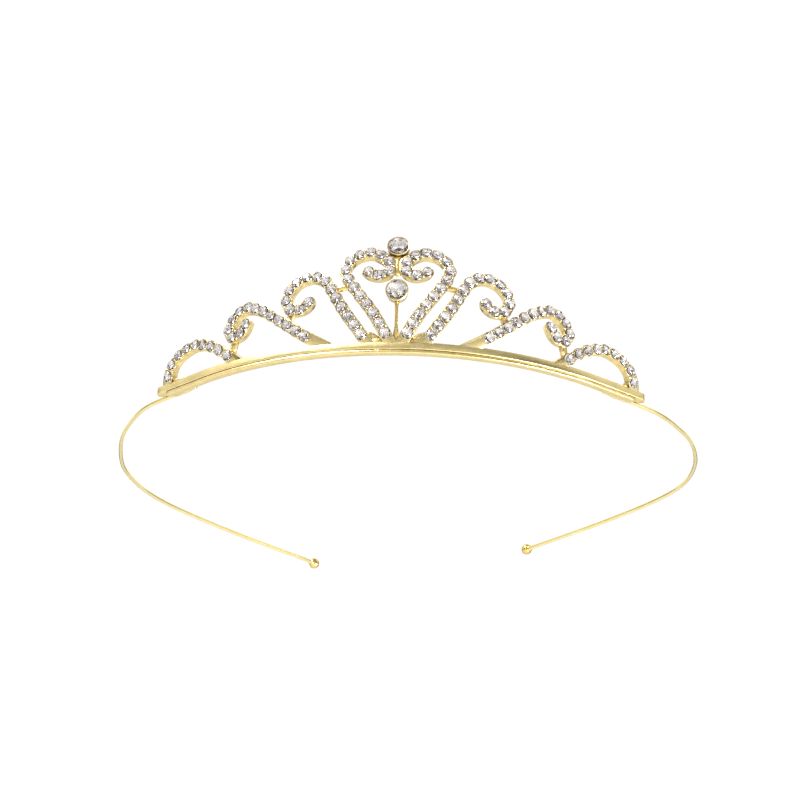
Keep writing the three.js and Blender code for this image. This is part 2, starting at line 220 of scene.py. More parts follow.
class Path:
    """A Catmull-Rom curve through points, measured by length."""

    def __init__(self, points, steps=24):
        p = np.array(points, float)
        padded = np.vstack([p[0], p, p[-1]])
        t = np.linspace(0, 1, steps, endpoint=False)[:, None]
        spans = []
        for p0, p1, p2, p3 in zip(padded, padded[1:], padded[2:], padded[3:]):
            v1 = (p2 - p0) / 2
            v2 = (p3 - p1) / 2
            cubic = 2 * p1 - 2 * p2 + v1 + v2
            square = 3 * p2 - 3 * p1 - 2 * v1 - v2
            spans.append(cubic * t**3 + square * t**2 + v1 * t + p1)
        self.points = np.vstack(spans + [p[-1:]])
        steps_long = np.linalg.norm(np.diff(self.points, axis=0), axis=1)
        self.lengths = np.concatenate([[0], np.cumsum(steps_long)])
        self.length = self.lengths[-1]

    def at(self, length):
        return np.array([np.interp(length, self.lengths, axis) for axis in self.points.T])

    def tangent(self, length):
        ahead = self.at(min(length + 0.05, self.length))
        behind = self.at(max(length - 0.05, 0))
        return (ahead - behind) / np.linalg.norm(ahead - behind)


# ---- mesh helpers ------------------------------------------------------------------------------


def make_mesh(name, verts, faces, uvs=None, smooth=True, material=None):
    """An object in metres from vertices in millimetres. uvs gives one (u, v) for each corner."""
    mesh = bpy.data.meshes.new(name)
    mesh.from_pydata([tuple(np.asarray(v) * MM) for v in verts], [], faces)
    if uvs is not None:
        layer = mesh.uv_layers.new(name="length")
        for face, corners in zip(mesh.polygons, uvs):
            for loop, uv in zip(face.loop_indices, corners):
                layer.data[loop].uv = uv
    mesh.shade_smooth() if smooth else mesh.shade_flat()
    piece = bpy.data.objects.new(name, mesh)
    bpy.context.scene.collection.objects.link(piece)
    if material:
        mesh.materials.append(material)
    return piece


def circle(radius, z, sides, offset=0):
    """Points on a circle at height z; offset turns it by a part of one side."""
    angles = [2 * math.pi * (i + offset) / sides for i in range(sides)]
    return [(radius * math.cos(a), radius * math.sin(a), z) for a in angles]


def ring_quads(first, second, count, flipped=False):
    """Quads between two rings of vertices, each given by its first vertex's number."""
    quads = []
    for j in range(count):
        k = (j + 1) % count
        quad = (first + j, first + k, second + k, second + j)
        quads.append(quad[:1] + quad[:0:-1] if flipped else quad)
    return quads


def loft(name, rings, lengths, material):
    """A closed solid through rings of equal count; its uv runs along lengths and round the ring,
    in mm."""
    count = len(rings[0])
    girth = np.linalg.norm(np.diff(rings[len(rings) // 2], axis=0), axis=1)
    around = np.concatenate([[0], np.cumsum(np.append(girth, girth.mean()))])
    faces = []
    uvs = []
    for i, (here, ahead) in enumerate(zip(lengths, lengths[1:])):
        faces.extend(ring_quads(i * count, (i + 1) * count, count))
        uvs.extend([(here, u0), (here, u1), (ahead, u1), (ahead, u0)]
                   for u0, u1 in zip(around, around[1:]))
    last = (len(rings) - 1) * count
    for cap, length in ((range(count)[::-1], lengths[0]), (range(last, last + count), lengths[-1])):
        faces.append(tuple(cap))
        uvs.append([(length, u) for u in around[:count]])
    return make_mesh(name, np.vstack(rings), faces, uvs, True, material)


def rounded_box_outline(x0, x1, y0, y1, radius, steps=3):
    """A rounded rectangle, anticlockwise, as (x, y) pairs."""
    corners = [(x1 - radius, y0 + radius, -90), (x1 - radius, y1 - radius, 0),
               (x0 + radius, y1 - radius, 90), (x0 + radius, y0 + radius, 180)]
    outline = []
    for cx, cy, start in corners:
        for i in range(steps + 1):
            angle = math.radians(start + 90 * i / steps)
            outline.append((cx + radius * math.cos(angle), cy + radius * math.sin(angle)))
    return outline


def end_stations(start, end, divisions, radius, round_start):
    """(place, width) pairs from start to end, narrowing to a round at the far end or at both."""
    first = start + radius if round_start else start
    last = end - radius
    body = [(first + (last - first) * i / divisions, 1.0) for i in range(divisions + 1)]
    angles = [math.radians(a) for a in (75, 60, 45, 30, 15, 5)]
    tail = [(last + radius * math.cos(a), math.sin(a)) for a in angles]
    head = [(first - radius * math.cos(a), math.sin(a)) for a in reversed(angles)]
    return (head if round_start else []) + body + tail


def auto_smooth(piece, degrees):
    piece.data.set_sharp_from_angle(angle=math.radians(degrees))


def settle(piece):
    """Applies a piece's modifiers to its mesh."""
    bpy.context.view_layer.update()
    evaluated = piece.evaluated_get(bpy.context.evaluated_depsgraph_get())
    mesh = bpy.data.meshes.new_from_object(evaluated)
    piece.modifiers.clear()
    piece.data = mesh


def placed(points, s, h, spin=0.0, tilt=(0.0, 0.0)):
    """Local points (x along, y up, z out) on the crown at (s, h), after a spin and a small tilt."""
    origin, along, upward, normal = crown_frame(s, h)
    local = np.array(points, float)
    c, w = math.cos(spin), math.sin(spin)
    x = c * local[:, 0] - w * local[:, 1]
    y = w * local[:, 0] + c * local[:, 1]
    z = local[:, 2] + tilt[0] * x + tilt[1] * y
    return origin + np.outer(x, along) + np.outer(y, upward) + np.outer(z, normal)


# ---- materials, whose lengths are in metres ----------------------------------------------------

CREVICE = 1.3 * MM  # reach of the painted shade, brown, in the metal's corners
# painted shade: the brown that the metal's colour is mixed towards in crevices
PAINTED_CREVICE_SHADE = (0.30, 0.17, 0.05, 1)


def new_material(name):
    material = bpy.data.materials.new(name)
    material.use_nodes = True
    nodes = material.node_tree.nodes
    return material, nodes, material.node_tree.links, nodes["Principled BSDF"]


def noise(nodes, links, vector, scale, detail=4.0, stretch=(1, 1, 1)):
    mapping = nodes.new("ShaderNodeMapping")
    mapping.inputs["Scale"].default_value = stretch
    links.new(vector, mapping.inputs["Vector"])
    texture = nodes.new("ShaderNodeTexNoise")
    texture.inputs["Scale"].default_value = scale
    texture.inputs["Detail"].default_value = detail
    links.new(mapping.outputs["Vector"], texture.inputs["Vector"])
    return texture.outputs["Fac"]


def ramp(nodes, links, value, stops):
    node = nodes.new("ShaderNodeValToRGB")
    elements = node.color_ramp.elements
    while len(elements) < len(stops):
        elements.new(0.5)
    for element, (place, colour) in zip(elements, stops):
        element.position = place
        element.color = (*colour, 1)
    links.new(value, node.inputs["Fac"])
    return node.outputs["Color"]


def value_range(nodes, links, value, low, high):
    node = nodes.new("ShaderNodeMapRange")
    node.inputs["From Min"].default_value = 0.3
    node.inputs["From Max"].default_value = 0.7
    node.inputs["To Min"].default_value = low
    node.inputs["To Max"].default_value = high
    links.new(value, node.inputs["Value"])
    return node.outputs["Result"]


def bump(nodes, links, value, distance, strength=1.0):
    node = nodes.new("ShaderNodeBump")
    node.inputs["Distance"].default_value = distance
    node.inputs["Strength"].default_value = strength
    links.new(value, node.inputs["Height"])
    return node.outputs["Normal"]


def gilt_material(name, pale, deep, roughness, grain, brushed=False):
    """Gilt metal, whose colour drifts from pale to deep, with painted shade that turns it brown in crevices,
    where an ambient-occlusion mask finds them, and with a fine surface grain. A brushed one has streaks
    along its length, from the uv that loft() writes."""
    material, nodes, links, shader = new_material(name)
    coordinates = nodes.new("ShaderNodeTexCoord")
    place = coordinates.outputs["Object"]
    cloud = noise(nodes, links, place, 380, 3)
    unshaded = ramp(nodes, links, cloud, [(0.3, deep), (0.72, pale)])
    # painted shade: an ambient-occlusion mask turns the colour brown in crevices, where shade falls
    crevice = nodes.new("ShaderNodeAmbientOcclusion")
    crevice.samples = 4
    crevice.inputs["Distance"].default_value = CREVICE
    painted_shade_mix = nodes.new("ShaderNodeMix")
    painted_shade_mix.data_type = "RGBA"
    painted_shade_mix.inputs["A"].default_value = PAINTED_CREVICE_SHADE
    links.new(unshaded, painted_shade_mix.inputs["B"])
    stops = [(0.2, (0, 0, 0)), (0.8, (1, 1, 1))]
    openness = ramp(nodes, links, crevice.outputs["AO"], stops)
    links.new(openness, painted_shade_mix.inputs["Factor"])
    links.new(painted_shade_mix.outputs["Result"], shader.inputs["Base Color"])
    if brushed:
        fine = noise(nodes, links, coordinates.outputs["UV"], 1.0, 5, (0.35, 22, 1))
    else:
        fine = noise(nodes, links, place, 2600, 5)
    links.new(value_range(nodes, links, fine, *roughness), shader.inputs["Roughness"])
    links.new(bump(nodes, links, fine, grain), shader.inputs["Normal"])
    shader.inputs["Metallic"].default_value = 1.0
    return material


def crystal_material(name):
    """Clear lead glass with the faint warm tint and the slight haze of cheap rhinestones."""
    material, nodes, links, shader = new_material(name)
    place = nodes.new("ShaderNodeTexCoord").outputs["Object"]
    tint = noise(nodes, links, place, 420, 2)
    stops = [(0.35, (1.0, 0.96, 0.94)), (0.65, (1.0, 1.0, 0.99))]
    links.new(ramp(nodes, links, tint, stops), shader.inputs["Base Color"])
    haze = noise(nodes, links, place, 1500, 3)
    links.new(value_range(nodes, links, haze, 0.0, 0.05), shader.inputs["Roughness"])
    shader.inputs["Transmission Weight"].default_value = 1.0
    shader.inputs["IOR"].default_value = 1.56
    return material


def foil_reflection_material(name):
    """The foil at the back of a rhinestone, seen through the glass, with painted reflections: each face has
    its own painted tone, from near black to white, for dark and bright facets.
    """
    material, nodes, links, shader = new_material(name)
    place = nodes.new("ShaderNodeTexCoord").outputs["Object"]
    tone = nodes.new("ShaderNodeAttribute")
    tone.attribute_name = "tone"
    # painted reflections: each face's tone picks its colour from near black to white
    stops = [(0.0, (0.07, 0.05, 0.035)), (0.3, (0.36, 0.31, 0.30)),
             (0.6, (0.88, 0.83, 0.82)), (0.9, (1.0, 0.98, 0.97))]
    links.new(ramp(nodes, links, tone.outputs["Fac"], stops), shader.inputs["Base Color"])
    fine = noise(nodes, links, place, 3000, 4)
    links.new(value_range(nodes, links, fine, 0.15, 0.35), shader.inputs["Roughness"])
    links.new(bump(nodes, links, fine, 0.00003), shader.inputs["Normal"])
    shader.inputs["Metallic"].default_value = 0.35
    return material


def floor_material(name):
    material, nodes, links, shader = new_material(name)
    place = nodes.new("ShaderNodeTexCoord").outputs["Object"]
    cloud = noise(nodes, links, place, 6, 2)
    stops = [(0.4, (0.86, 0.86, 0.86)), (0.6, (0.9, 0.9, 0.9))]
    links.new(ramp(nodes, links, cloud, stops), shader.inputs["Base Color"])
    shader.inputs["Roughness"].default_value = 0.8
    return material


GILT = gilt_material(
    "gilt_casting", pale=(1.0, 0.83, 0.42), deep=(0.90, 0.71, 0.29),
    roughness=(0.14, 0.30), grain=0.00004)
GILT_BAR = gilt_material(
    "gilt_strip", pale=(0.97, 0.80, 0.40), deep=(0.86, 0.69, 0.31),
    roughness=(0.18, 0.36), grain=0.00002, brushed=True)
GILT_WIRE = gilt_material(
    "gilt_wire", pale=(1.0, 0.88, 0.46), deep=(0.96, 0.79, 0.34),
    roughness=(0.14, 0.24), grain=0.000002)
GILT_BALL = gilt_material(
    "gilt_ball", pale=(0.92, 0.68, 0.26), deep=(0.74, 0.50, 0.16),
    roughness=(0.16, 0.28), grain=0.000002)
SOLDER = gilt_material(
    "gilt_solder", pale=(0.96, 0.79, 0.38), deep=(0.83, 0.63, 0.26),
    roughness=(0.2, 0.4), grain=0.00006)
CRYSTAL = crystal_material("crystal")
FOIL_PAINTED_REFLECTIONS = foil_reflection_material("foil_back_painted_reflections")
# painted shade: a dark brown for the stones' girdle bands, standing for the shadow round each girdle
GIRDLE_PAINTED_SHADE = gilt_material(
    "painted_girdle_shade", pale=(0.24, 0.15, 0.07), deep=(0.10, 0.06, 0.03),
    roughness=(0.3, 0.5), grain=0.00001)

# ---- stones ------------------------------------------------------------------------------------


def brilliant(radius, crown, pavilion, girdle):
    """Points and faces of a round brilliant, girdle at z = 0, table upwards. The girdle's faces
    come last."""
    eighths = GIRDLE_SIDES // 2
    rings = [
        circle(radius * 0.56, crown, eighths),
        circle(radius * 0.79, crown * 0.58, eighths, 0.5),
        circle(radius, girdle / 2, GIRDLE_SIDES),
        circle(radius, -girdle / 2, GIRDLE_SIDES),
        circle(radius * 0.42, -pavilion * 0.6, eighths, 0.5),
        [(0, 0, -pavilion)],
    ]
    points = sum(rings, [])
    table, star, rim, under, main, culet = [sum(map(len, rings[:i])) for i in range(len(rings))]
    faces = [tuple(range(table, table + eighths))]
    for i in range(eighths):
        before, after = (i - 1) % eighths, (i + 1) % eighths
        a, b, c = 2 * i, 2 * i + 1, (2 * i + 2) % GIRDLE_SIDES
        faces.append((table + i, star + i, table + after))
        faces.append((table + i, star + before, rim + a, star + i))
        faces.append((star + i, rim + a, rim + b))
        faces.append((star + i, rim + b, rim + c))
        faces.append((main + i, under + b, under + a))
        faces.append((main + i, under + c, under + b))
        faces.append((culet, main + i, under + a, main + before))
    faces.extend(ring_quads(rim, under, GIRDLE_SIDES, flipped=True))
    return points, faces


def stone_row(name, places, radius, crown, pavilion, seat_d):
    """Faceted stones at (s, h) places, each turned and seated a little differently."""
    points, faces = brilliant(radius, crown, pavilion, GIRDLE)
    verts = []
    all_faces = []
    for s, h in places:
        start = len(verts)
        spin = rng.uniform(0, math.pi / 4)
        tilt = (rng.uniform(-STONE_TILT, STONE_TILT), rng.uniform(-STONE_TILT, STONE_TILT))
        lifted = [(x, y, z + seat_d + rng.uniform(0, STONE_UNEVENNESS)) for x, y, z in points]
        verts.extend(placed(lifted, s, h, spin, tilt))
        all_faces.extend(tuple(start + i for i in face) for face in faces)
    piece = make_mesh(name, verts, all_faces, smooth=False, material=CRYSTAL)
    # painted shade: each stone's girdle band takes the dark brown material, for the shadow round the girdle
    piece.data.materials.append(GIRDLE_PAINTED_SHADE)
    for face in piece.data.polygons:
        if face.index % len(faces) >= len(faces) - GIRDLE_SIDES:
            face.material_index = 1
    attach(piece, "crown")
    return piece


def scroll_path(kind, side):
    _, _, points = SCROLLS[kind]
    return Path([(side * s, h) for s, h in points])


def stone_stops(kind, side):
    """Lengths along a scroll of its stones: evenly spaced from the lowest stone to the eye of the
    curl, or to an arch's second foot."""
    count, first_h, _ = SCROLLS[kind]
    path = scroll_path(kind, side)
    samples = np.arange(0, path.length, 0.02)
    heights = np.interp(samples, path.lengths, path.points[:, 1])
    above = samples[heights >= first_h]
    first = above[0]
    last = above[-1] if kind == "outer" else path.length - STRIP_WIDTH / 2
    return [first + (last - first) * i / (count - 1) for i in range(count)]


# ---- scrolls -----------------------------------------------------------------------------------

PAINTED_SHADE_TONE = 0.02  # painted shade on the foil's upright walls, for the dark rim round each stone


def paint_reflection_tones(piece, dark_share):
    """Paints each face its own tone, dark or bright: a painted patchwork of reflections on the foil."""
    tones = piece.data.attributes.new("tone", "FLOAT", "FACE")
    for tone in tones.data:
        tone.value = rng.uniform(0.1, 0.4) if rng.random() < dark_share else rng.uniform(0.75, 1)


def seat_cutter(places):
    """Tapered seats that are cut into a scroll's face; their walls are the stones' foil, with painted
    reflections and painted shade.
    """
    rows = [(SEAT_RADIUS, STRIP_FRONT + 0.3), (SEAT_RADIUS, STRIP_FRONT - 0.3),
            (STONE_RADIUS * 0.66, STRIP_FRONT - 0.55), (0.25, STRIP_FRONT - 0.9)]
    verts = []
    faces = []
    for s, h in places:
        start = len(verts)
        rings = [circle(r, d, SEAT_SIDES, level % 2 / 2) for level, (r, d) in enumerate(rows)]
        verts.extend(placed(sum(rings, []), s, h, rng.uniform(0, 1)))
        last = start + (len(rows) - 1) * SEAT_SIDES
        faces.append(tuple(start + i for i in range(SEAT_SIDES)))
        faces.append(tuple(last + i for i in reversed(range(SEAT_SIDES))))
        for ring in range(start, last, SEAT_SIDES):
            faces.extend(ring_quads(ring, ring + SEAT_SIDES, SEAT_SIDES, flipped=True))
    piece = make_mesh("seat_cutter", verts, faces, smooth=False, material=FOIL_PAINTED_REFLECTIONS)
    paint_reflection_tones(piece, 0.14)
    tones = piece.data.attributes["tone"].data
    per_stone = 2 + (len(rows) - 1) * SEAT_SIDES
    # painted shade: the upright wall round each girdle is black, and a quarter of the faces below it are
    # darkened
    for index, tone in enumerate(tones):
        level = (index % per_stone - 2) // SEAT_SIDES
        if level == 0:
            tone.value = PAINTED_SHADE_TONE
        if level == 1 and rng.random() < 0.25:
            tone.value = rng.uniform(0.0, 0.15)
    return piece


def scroll_rings(path, stops, is_arch):
    """Sections of a cast scroll: a smooth web at the back, with a round cup for each stone in
    front."""
    length = path.length
    if is_arch:
        stations = [(length * i / SCROLL_SECTIONS, 1.0) for i in range(SCROLL_SECTIONS + 1)]
    else:
        stations = end_stations(0, length, SCROLL_SECTIONS, WEB_WIDTH / 2, False)
    foot_length = length * (0.2 if is_arch else 0.42)
    rings = []
    for place, width in stations:
        s, h = path.at(place)
        ts, th = path.tangent(place)
        near = min(abs(place - stop) for stop in stops)
        cup = math.sqrt(max(CUP_RADIUS**2 - near**2, 0))
        from_foot = min(place, length - place) if is_arch else place
        narrowing = min(from_foot / foot_length, 1)
        web = (FOOT_WIDTH + (WEB_WIDTH - FOOT_WIDTH) * narrowing**2) / 2 * width
        face = max(cup, web)
        edge = 0.16 * min(face, 1)
        half = [
            (web - 0.25 * width, STRIP_BACK), (web - 0.07 * width, STRIP_BACK + 0.07),
            (web, STRIP_BACK + 0.3), (web, -0.35), (0.35 * face + 0.65 * web, 0.0), (face, 0.32),
            (face, STRIP_FRONT - edge), (face - 0.3 * edge, STRIP_FRONT - 0.3 * edge),
            (face - edge, STRIP_FRONT)]
        outline = half + [(-x, d) for x, d in reversed(half)]
        rings.append([on_crown(s - th * a, h + ts * a, d) for a, d in outline])
    return rings, [place for place, _ in stations]


def scroll(name, kind, side, places):
    """One cast scroll, its face cut with a seat for each stone."""
    path = scroll_path(kind, side)
    rings, lengths = scroll_rings(path, stone_stops(kind, side), kind == "outer")
    piece = loft(name, rings, lengths, GILT)
    cutter = seat_cutter(places)
    cut = piece.modifiers.new("seats", "BOOLEAN")
    cut.operation = "DIFFERENCE"
    cut.solver = "EXACT"
    cut.use_self = True
    cut.material_mode = "TRANSFER"
    cut.object = cutter
    settle(piece)
    bpy.data.objects.remove(cutter)
    auto_smooth(piece, 35)
    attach(piece, "crown")
    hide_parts(name)
    return piece


def beads(name, places):
    """Small raised beads of metal between neighbouring stones, which hold their girdles."""
    verts = []
    faces = []
    for (s0, h0), (s1, h1) in zip(places, places[1:]):
        middle = (np.array([s0, h0]) + np.array([s1, h1])) / 2
        across = np.array([h0 - h1, s1 - s0])
        across /= np.linalg.norm(across)
        for turn in (-1, 1):
            s, h = middle + turn * across * (WEB_WIDTH / 2 - 0.25)
            add_dome(verts, faces, s, h, BEAD_RADIUS, BEAD_HEIGHT, STRIP_FRONT)
    piece = make_mesh(name, verts, faces, smooth=True, material=GILT)
    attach(piece, "crown")
    return piece


def add_dome(verts, faces, s, h, radius, height, d):
    """A low dome with a base below d, added to a list of vertices and faces."""
    sides = 8
    start = len(verts)
    profile = [(radius, d - 0.15), (radius, d), (radius * 0.8, d + height * 0.6),
               (radius * 0.4, d + height * 0.92)]
    rings = [circle(r, z, sides) for r, z in profile]
    verts.extend(placed(sum(rings, []) + [(0, 0, d + height)], s, h))
    top = start + len(profile) * sides
    last = top - sides
    faces.append(tuple(start + i for i in reversed(range(sides))))
    for ring in range(start, last, sides):
        faces.extend(ring_quads(ring, ring + sides, sides))
    faces.extend((last + i, last + (i + 1) % sides, top) for i in range(sides))


# ---- bar, rail, wire ---------------------------------------------------------------------------


def bar(name, material, half_length, front, depth, z0, z1, ease, wander):
    """A flat strip along the crown's line with rounded ends and eased edges, which wanders a
    little from the line."""
    rings = []
    stations = end_stations(-half_length, half_length, BAR_SECTIONS, depth / 2, True)
    for s, width in stations:
        sway = wander * math.sin(s * 0.37) * math.sin(s * 0.11 + 1)
        half = depth * width / 2
        section = rounded_box_outline(-half, half, z0, z1, min(ease, depth * width * 0.4))
        middle = front - depth / 2 + sway
        rings.append([on_bar(s, middle - across, z) for across, z in section])
    piece = loft(name, rings, [s for s, _ in stations], material)
    auto_smooth(piece, 50)
    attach(piece, "crown")
    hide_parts(name)
    return piece


def hoop(centre, tangent, radius, sides):
    """A circle of points across a tangent, kept level so that a row of them doesn't twist."""
    level = np.cross(UP, tangent)
    level /= np.linalg.norm(level)
    rise = np.cross(tangent, level)
    angles = 2 * math.pi * np.arange(sides) / sides
    return centre + radius * (np.outer(np.cos(angles), level) + np.outer(np.sin(angles), rise))


def tube_rings(path, radius_at, stations, sides=20):
    """Rings round a 3-D path, at the given lengths along it."""
    return [hoop(path.at(length), path.tangent(length), radius_at(length), sides)
            for length in stations]


def arm_path(name, side):
    """The wire's centreline: along the back of the rail, then round the head to its ball."""
    roots = [on_bar(side * (WIRE_ROOT_S - back), WIRE_ROOT_D, WIRE_ROOT_Z) for back in (6, 3, 0)]
    route = ARM_ROUTES[name]
    run = []
    for i, (x, y) in enumerate(route):
        z = WIRE_ROOT_Z + (BALL_RADIUS - WIRE_ROOT_Z) * (i + 1) / len(route)
        run.append(np.array([x, y + LOOP_MIDDLE_Y, z]))
    return Path(roots + run)


def wire_arm(name, side):
    """The wire, whose bend at its joint is spread along it between the solder and BEND_END."""
    path = arm_path(name, side)
    stations = [path.length * i / WIRE_SECTIONS for i in range(WIRE_SECTIONS + 1)]

    def radius_at(length):
        return WIRE_RADIUS * (1 + 0.012 * math.sin(length * 0.9) * math.sin(length * 0.23))

    rings = tube_rings(path, radius_at, stations)
    piece = loft(f"{name}_headband_wire", rings, stations, GILT_WIRE)
    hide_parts(f"{name}_wire_arm")
    start = path.at(BEND_START)
    end = path.at(BEND_END)
    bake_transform(piece, "crown", f"{name}_arm", start=tuple(start * MM), end=tuple(end * MM))
    return piece


def end_ball(name, side):
    """A turned ball with a short collar where the wire enters it."""
    path = arm_path(name, side)
    centre = path.at(path.length)
    tangent = path.tangent(path.length - 0.5)
    profile = [(0.62, -1.62), (0.72, -1.5), (0.74, -1.3)]
    first_angle = 148
    last_angle = 4
    for i in range(15):
        angle = math.radians(first_angle - i * (first_angle - last_angle) / 14)
        profile.append((BALL_RADIUS * math.sin(angle), BALL_RADIUS * math.cos(angle)))
    rings = [hoop(centre + z * tangent, tangent, r, sides=28) for r, z in profile]
    piece = loft(f"{name}_ball_tip", rings, [z for _, z in profile], GILT_BALL)
    auto_smooth(piece, 60)
    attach(piece, f"{name}_arm")
    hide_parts(f"{name}_end_ball")
    return piece


# ---- settings, stem and solder -----------------------------------------------------------------


def turned(name, profile, s, h, material, sides):
    """A turned piece on the crown: profile is (radius, d) pairs, closed on itself."""
    verts = np.vstack([placed(circle(r, d, sides), s, h) for r, d in profile])
    faces = []
    for i in range(len(profile)):
        k = (i + 1) % len(profile)
        faces.extend(ring_quads(i * sides, k * sides, sides, flipped=True))
    piece = make_mesh(name, verts, faces, smooth=True, material=material)
    auto_smooth(piece, 40)
    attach(piece, "crown")
    return piece


def bezel(name, h):
    """A tapered cup with a rolled rim; its bore is lined with the stone's foil, with painted reflections and
    painted shade.
    """
    outer, rim, front = BEZEL_RADIUS, BEZEL_RADIUS - 0.3, BEZEL_FRONT
    profile = [
        (0.02, BEZEL_BACK), (outer - 0.7, BEZEL_BACK), (outer - 0.35, BEZEL_BACK + 0.2),
        (outer - 0.14, BEZEL_BACK + 0.7), (outer - 0.06, front - 0.6), (outer, front - 0.5),
        (outer, front - 0.1), (outer - 0.1, front), (outer - 0.2, front), (rim, front - 0.08),
        (rim, front - 0.35), (rim * 0.62, front - 0.8), (0.4, front - 1.2), (0.02, front - 1.2),
    ]
    bore, pleats, cone, bottom = range(9, 13)  # rows of faces under the rim, which are foil: painted shade in the bore, painted reflections below it
    sides = 32
    piece = turned(f"{name}_cup", profile, 0, h, GILT, sides)
    piece.data.materials.append(FOIL_PAINTED_REFLECTIONS)
    paint_reflection_tones(piece, 0.12)
    attributes = piece.data.attributes
    sharp = attributes.get("sharp_face") or attributes.new("sharp_face", "BOOLEAN", "FACE")
    tones = attributes["tone"].data
    # painted reflections: the pleats get dark and bright wedges, and the cone under them is kept bright
    wedges = [rng.choice((0.05, 0.3, 1.0, 1.0, 1.0)) for _ in range(sides)]
    for face in piece.data.polygons:
        level, place = divmod(face.index, sides)
        if bore <= level <= bottom:
            face.material_index = 1
            sharp.data[face.index].value = True
        # painted shade: the upright bore is black
        if level == bore:
            tones[face.index].value = PAINTED_SHADE_TONE
        if level == pleats:
            tones[face.index].value = wedges[place // 2]
        if level == cone:
            tones[face.index].value = max(wedges[place // 2 + 7], 0.8)
    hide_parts(name)
    return piece


def big_stone(name, h):
    """The single stone of a bezel."""
    piece = stone_row(f"{name}_cut", [(0, h)], BIG_STONE_CUT_RADIUS, BIG_STONE_CROWN,
                      BIG_STONE_PAVILION, BEZEL_FRONT)
    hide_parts(name)
    return piece


def upright(name, sections, middle_d):
    """A smooth rod up the middle of the crown, from (h, half width, half depth) sections."""
    angles = 2 * math.pi * np.arange(16) / 16
    rings = [
        [on_crown(half * math.cos(a), h, middle_d - depth * math.sin(a)) for a in angles]
        for h, half, depth in sections]
    piece = loft(name, rings, [h for h, _, _ in sections], GILT)
    smoother = piece.modifiers.new("smooth", "SUBSURF")
    smoother.levels = smoother.render_levels = 1
    settle(piece)
    piece.data.shade_smooth()
    return piece


def stem():
    """The rod under the pendant setting, swelling at its foot and pointed between the legs."""
    widths = [(0.3, 0.12), (0.7, 0.3), (1.2, 0.52), (1.8, 0.66), (2.3, 0.66), (3.0, 0.52),
              (3.8, 0.42), (6.0, 0.38), (8.0, 0.40), (9.0, 0.48), (9.6, 0.7)]
    piece = upright("pendant_stem", [(h, half, min(half, 0.42)) for h, half in widths], 0.05)
    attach(piece, "crown")
    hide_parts("stem")
    return piece


def neck():
    """The casting between the top setting and the two heart curls: narrow in the middle."""
    widths = [(17.9, 0.9), (18.3, 0.8), (18.9, 0.62), (19.5, 0.72), (20.1, 1.05), (20.7, 1.6),
              (21.4, 2.0)]
    piece = upright("top_neck", [(h, half, 0.75) for h, half in widths], -0.35)
    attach(piece, "crown")
    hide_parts("top_post")
    return piece


def solder_bead(name, start, end, d, radii, replaced=None):
    """A frozen bead of solder between two pattern points, lumpy and thick in the middle."""
    (s0, h0), (s1, h1) = start, end
    across, through = radii
    reach = math.hypot(s1 - s0, h1 - h0) / 2 + across
    rings, sides = 12, 16
    local = []
    phase = rng.uniform(0, 6)
    for i in range(1, rings):
        polar = math.pi * i / rings
        for j in range(sides):
            turn = 2 * math.pi * j / sides
            lump = (1 + 0.08 * math.sin(3 * turn + phase)
                    + 0.06 * math.sin(5 * polar + 2 * turn + phase))
            x = -reach * math.cos(polar)
            y = across * math.sin(polar) ** 0.7 * math.cos(turn) * lump
            z = through * math.sin(polar) ** 0.7 * math.sin(turn) * lump
            local.append((x, y, z + d))
    first, last = len(local), len(local) + 1
    local += [(-reach, 0, d), (reach, 0, d)]
    angle = math.atan2(h1 - h0, s1 - s0)
    verts = placed(local, (s0 + s1) / 2, (h0 + h1) / 2, angle)
    tail = (rings - 2) * sides
    faces = []
    for ring in range(0, tail, sides):
        faces.extend(ring_quads(ring, ring + sides, sides))
    for j in range(sides):
        k = (j + 1) % sides
        faces.append((first, k, j))
        faces.append((last, tail + j, tail + k))
    piece = make_mesh(name, verts, faces, smooth=True, material=SOLDER)
    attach(piece, "crown")
    if replaced:
        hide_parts(replaced)
    return piece


def wire_solder(name, side):
    """The bead that wraps the wire's root against the back of the rail."""
    path = arm_path(name, side)
    stations = np.linspace(0.0, WIRE_SOLDER_LENGTH, 26)

    def radius_at(length):
        swell = math.sin(math.pi * min(length / WIRE_SOLDER_LENGTH, 1)) ** 0.5
        return 0.2 + swell * (0.5 + 0.05 * math.sin(length * 2.3))

    rings = tube_rings(path, radius_at, stations, 18)
    piece = loft(f"{name}_wire_solder", rings, stations, SOLDER)
    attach(piece, "crown")
    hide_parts(f"{name}_wire_root")
    return piece


# ---- the object --------------------------------------------------------------------------------

bar("base_bar", GILT_BAR, BAR_HALF_LENGTH, BAR_FRONT, BAR_DEPTH,
    BAR_BOTTOM, BAR_TOP, ease=0.22, wander=0.03)
bar("headband_rail", GILT_BAR, RAIL_HALF_LENGTH, RAIL_FRONT, RAIL_DEPTH,
    0.0, RAIL_TOP, ease=0.2, wander=0.02)
stem()
bezel("pendant_bezel", PENDANT_STONE_H)
bezel("top_bezel", TOP_STONE_H)
big_stone("pendant_stone", PENDANT_STONE_H)
big_stone("top_stone", TOP_STONE_H)
neck()
solder_bead("curl_bridge_bead", (0, 17.0), (0, 18.9), -0.3, (1.1, 0.85), "curl_bridge")

